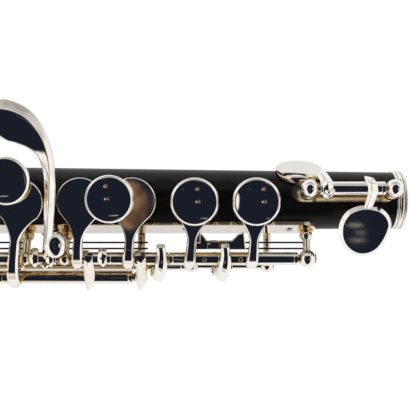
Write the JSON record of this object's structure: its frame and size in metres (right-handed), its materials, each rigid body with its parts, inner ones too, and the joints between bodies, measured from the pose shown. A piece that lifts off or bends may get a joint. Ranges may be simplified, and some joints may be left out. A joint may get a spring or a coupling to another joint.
{
  "type": "piccolo",
  "caption": "Conical-bore piccolo in two wooden joints with silver-plated keywork, split E and offset G keys on rods, ringed tenon and adjustable stopper.",
  "frame": {"origin": "middle of the bore at the foot end", "axes": "+X runs along the bore towards the foot end, -Y is the side of the hinge rods, +Z is the way the main key cups face"},
  "size_m": [0.3153, 0.0546, 0.0311],
  "materials": {
    "blackwood": "oiled, satin",
    "silver": "polished silver plate",
    "steel": "bright",
    "blued_steel": "blued spring wire",
    "brass": "turned",
    "cork": "matte cork",
    "pad_skin": "thin skin over felt"
  },
  "bodies": {
    "instrument": {"body_tube": "blackwood", "main_rib": "silver", "eb_strap": "silver", "thumb_strap": "silver", "strap_screws": "steel", "foot_ring": "silver", "socket_ring": "silver", "main_end_posts": "silver", "main_posts": "silver", "eb_posts": "silver", "thumb_posts": "silver", "outer_posts": "silver", "trill_posts": "silver", "trill_cradle": "silver", "main_steel": "steel", "outer_steel": "steel", "eb_steel": "steel", "thumb_steel": "steel", "needle_springs": "blued_steel"},
    "head": {"head_tube": "blackwood", "tenon_cork": "cork", "head_ring": "silver", "end_ring": "silver"},
    "crown": {"crown": "silver"},
    "stopper": {"stopper_screw": "brass", "stopper_cork": "cork", "stopper_nut": "brass"},
    "d_action": {"d_key": "silver", "d_pad": "pad_skin"},
    "e_action": {"e_key": "silver", "e_pad": "pad_skin"},
    "f_action": {"f_key": "silver", "f_pad": "pad_skin"},
    "f_sharp_action": {"f_sharp_key": "silver", "f_sharp_pad": "pad_skin"},
    "low_g_action": {"low_g_key": "silver", "low_g_pad": "pad_skin"},
    "up_g_action": {"up_g_key": "silver", "up_g_pad": "pad_skin"},
    "a_action": {"a_key": "silver", "a_pad": "pad_skin"},
    "b_flat_action": {"b_flat_key": "silver", "b_flat_pad": "pad_skin"},
    "c_action": {"c_key": "silver", "c_pad": "pad_skin"},
    "g_sharp_action": {"g_sharp_key": "silver", "g_sharp_pad": "pad_skin"},
    "trill_one_action": {"trill_one_key": "silver", "trill_one_pad": "pad_skin"},
    "trill_two_action": {"trill_two_key": "silver", "trill_two_pad": "pad_skin"},
    "thumb_b_action": {"thumb_b_key": "silver", "thumb_b_pad": "pad_skin"},
    "thumb_b_flat_action": {"thumb_b_flat_key": "silver", "thumb_b_flat_pad": "pad_skin"},
    "eb_action": {"eb_key": "silver", "eb_pad": "pad_skin"}
  },
  "joints": [
    {"name": "head_tuning", "type": "slide", "parent": "instrument", "child": "head", "axis": [-1, 0, 0], "range_m": [0, 0.01]},
    {"name": "crown_turn", "type": "hinge", "parent": "head", "child": "crown", "pos_m": [-0.304, 0, 0], "axis": [-1, 0, 0], "range_deg": [-360, 360]},
    {"name": "stopper_travel", "type": "slide", "parent": "head", "child": "stopper", "axis": [-1, 0, 0], "range_m": [-0.0008, 0.0008]},
    {"name": "d_press", "type": "hinge", "parent": "instrument", "child": "d_action", "pos_m": [-0.0427, -0.0164, 0.0065], "axis": [-1, 0, 0], "range_deg": [0, 5], "stiffness_Nm_per_rad": 0.006, "springref_deg": -22.92},
    {"name": "e_press", "type": "hinge", "parent": "instrument", "child": "e_action", "pos_m": [-0.0594, -0.0164, 0.0065], "axis": [-1, 0, 0], "range_deg": [0, 5], "stiffness_Nm_per_rad": 0.006, "springref_deg": -22.92},
    {"name": "f_press", "type": "hinge", "parent": "instrument", "child": "f_action", "pos_m": [-0.0765, -0.0164, 0.0065], "axis": [-1, 0, 0], "range_deg": [0, 5], "stiffness_Nm_per_rad": 0.006, "springref_deg": -22.92},
    {"name": "f_sharp_press", "type": "hinge", "parent": "instrument", "child": "f_sharp_action", "pos_m": [-0.0907, -0.0164, 0.0065], "axis": [-1, 0, 0], "range_deg": [0, 5], "stiffness_Nm_per_rad": 0.006, "springref_deg": -22.92},
    {"name": "low_g_press", "type": "hinge", "parent": "instrument", "child": "low_g_action", "pos_m": [-0.1072, -0.022, 0.0025], "axis": [-1, 0, 0], "range_deg": [0, 5], "stiffness_Nm_per_rad": 0.006, "springref_deg": -22.92},
    {"name": "up_g_press", "type": "hinge", "parent": "instrument", "child": "up_g_action", "pos_m": [-0.1206, -0.022, 0.0025], "axis": [-1, 0, 0], "range_deg": [0, 5], "stiffness_Nm_per_rad": 0.006, "springref_deg": -22.92},
    {"name": "a_press", "type": "hinge", "parent": "instrument", "child": "a_action", "pos_m": [-0.134, -0.0164, 0.0065], "axis": [-1, 0, 0], "range_deg": [0, 5], "stiffness_Nm_per_rad": 0.006, "springref_deg": -22.92},
    {"name": "b_flat_press", "type": "hinge", "parent": "instrument", "child": "b_flat_action", "pos_m": [-0.1474, -0.0164, 0.0065], "axis": [-1, 0, 0], "range_deg": [0, 5], "stiffness_Nm_per_rad": 0.006, "springref_deg": -22.92},
    {"name": "c_press", "type": "hinge", "parent": "instrument", "child": "c_action", "pos_m": [-0.1608, -0.0164, 0.0065], "axis": [-1, 0, 0], "range_deg": [0, 5], "stiffness_Nm_per_rad": 0.006, "springref_deg": -22.92},
    {"name": "g_sharp_press", "type": "hinge", "parent": "instrument", "child": "g_sharp_action", "pos_m": [-0.1012, -0.0164, 0.0065], "axis": [-1, 0, 0], "range_deg": [0, 8], "stiffness_Nm_per_rad": 0.006, "springref_deg": -22.92},
    {"name": "trill_one_press", "type": "hinge", "parent": "instrument", "child": "trill_one_action", "pos_m": [-0.12, -0.0192, -0.0042], "axis": [1, 0, 0], "range_deg": [0, 6], "stiffness_Nm_per_rad": 0.006, "springref_deg": -22.92},
    {"name": "trill_two_press", "type": "hinge", "parent": "instrument", "child": "trill_two_action", "pos_m": [-0.12, -0.0192, -0.0042], "axis": [1, 0, 0], "range_deg": [0, 6], "stiffness_Nm_per_rad": 0.006, "springref_deg": -22.92},
    {"name": "thumb_b_press", "type": "hinge", "parent": "instrument", "child": "thumb_b_action", "pos_m": [-0.1532, -0.015, -0.0085], "axis": [1, 0, 0], "range_deg": [0, 5], "stiffness_Nm_per_rad": 0.03, "springref_deg": -51.57},
    {"name": "thumb_b_flat_press", "type": "hinge", "parent": "instrument", "child": "thumb_b_flat_action", "pos_m": [-0.1394, -0.015, -0.0085], "axis": [1, 0, 0], "range_deg": [0, 5], "stiffness_Nm_per_rad": 0.03, "springref_deg": -51.57},
    {"name": "eb_press", "type": "hinge", "parent": "instrument", "child": "eb_action", "pos_m": [-0.016, 0.0031, 0.0125], "axis": [1, 0, 0], "range_deg": [0, 9], "stiffness_Nm_per_rad": 0.006, "springref_deg": -22.92}
  ],
  "couplings": [
    {"joint": "stopper_travel", "follows": "crown_turn", "m_per_rad": 0.00012732},
    {"joint": "f_sharp_press", "follows": "f_press", "ratio": 1},
    {"joint": "up_g_press", "follows": "low_g_press", "ratio": 1}
  ]
}
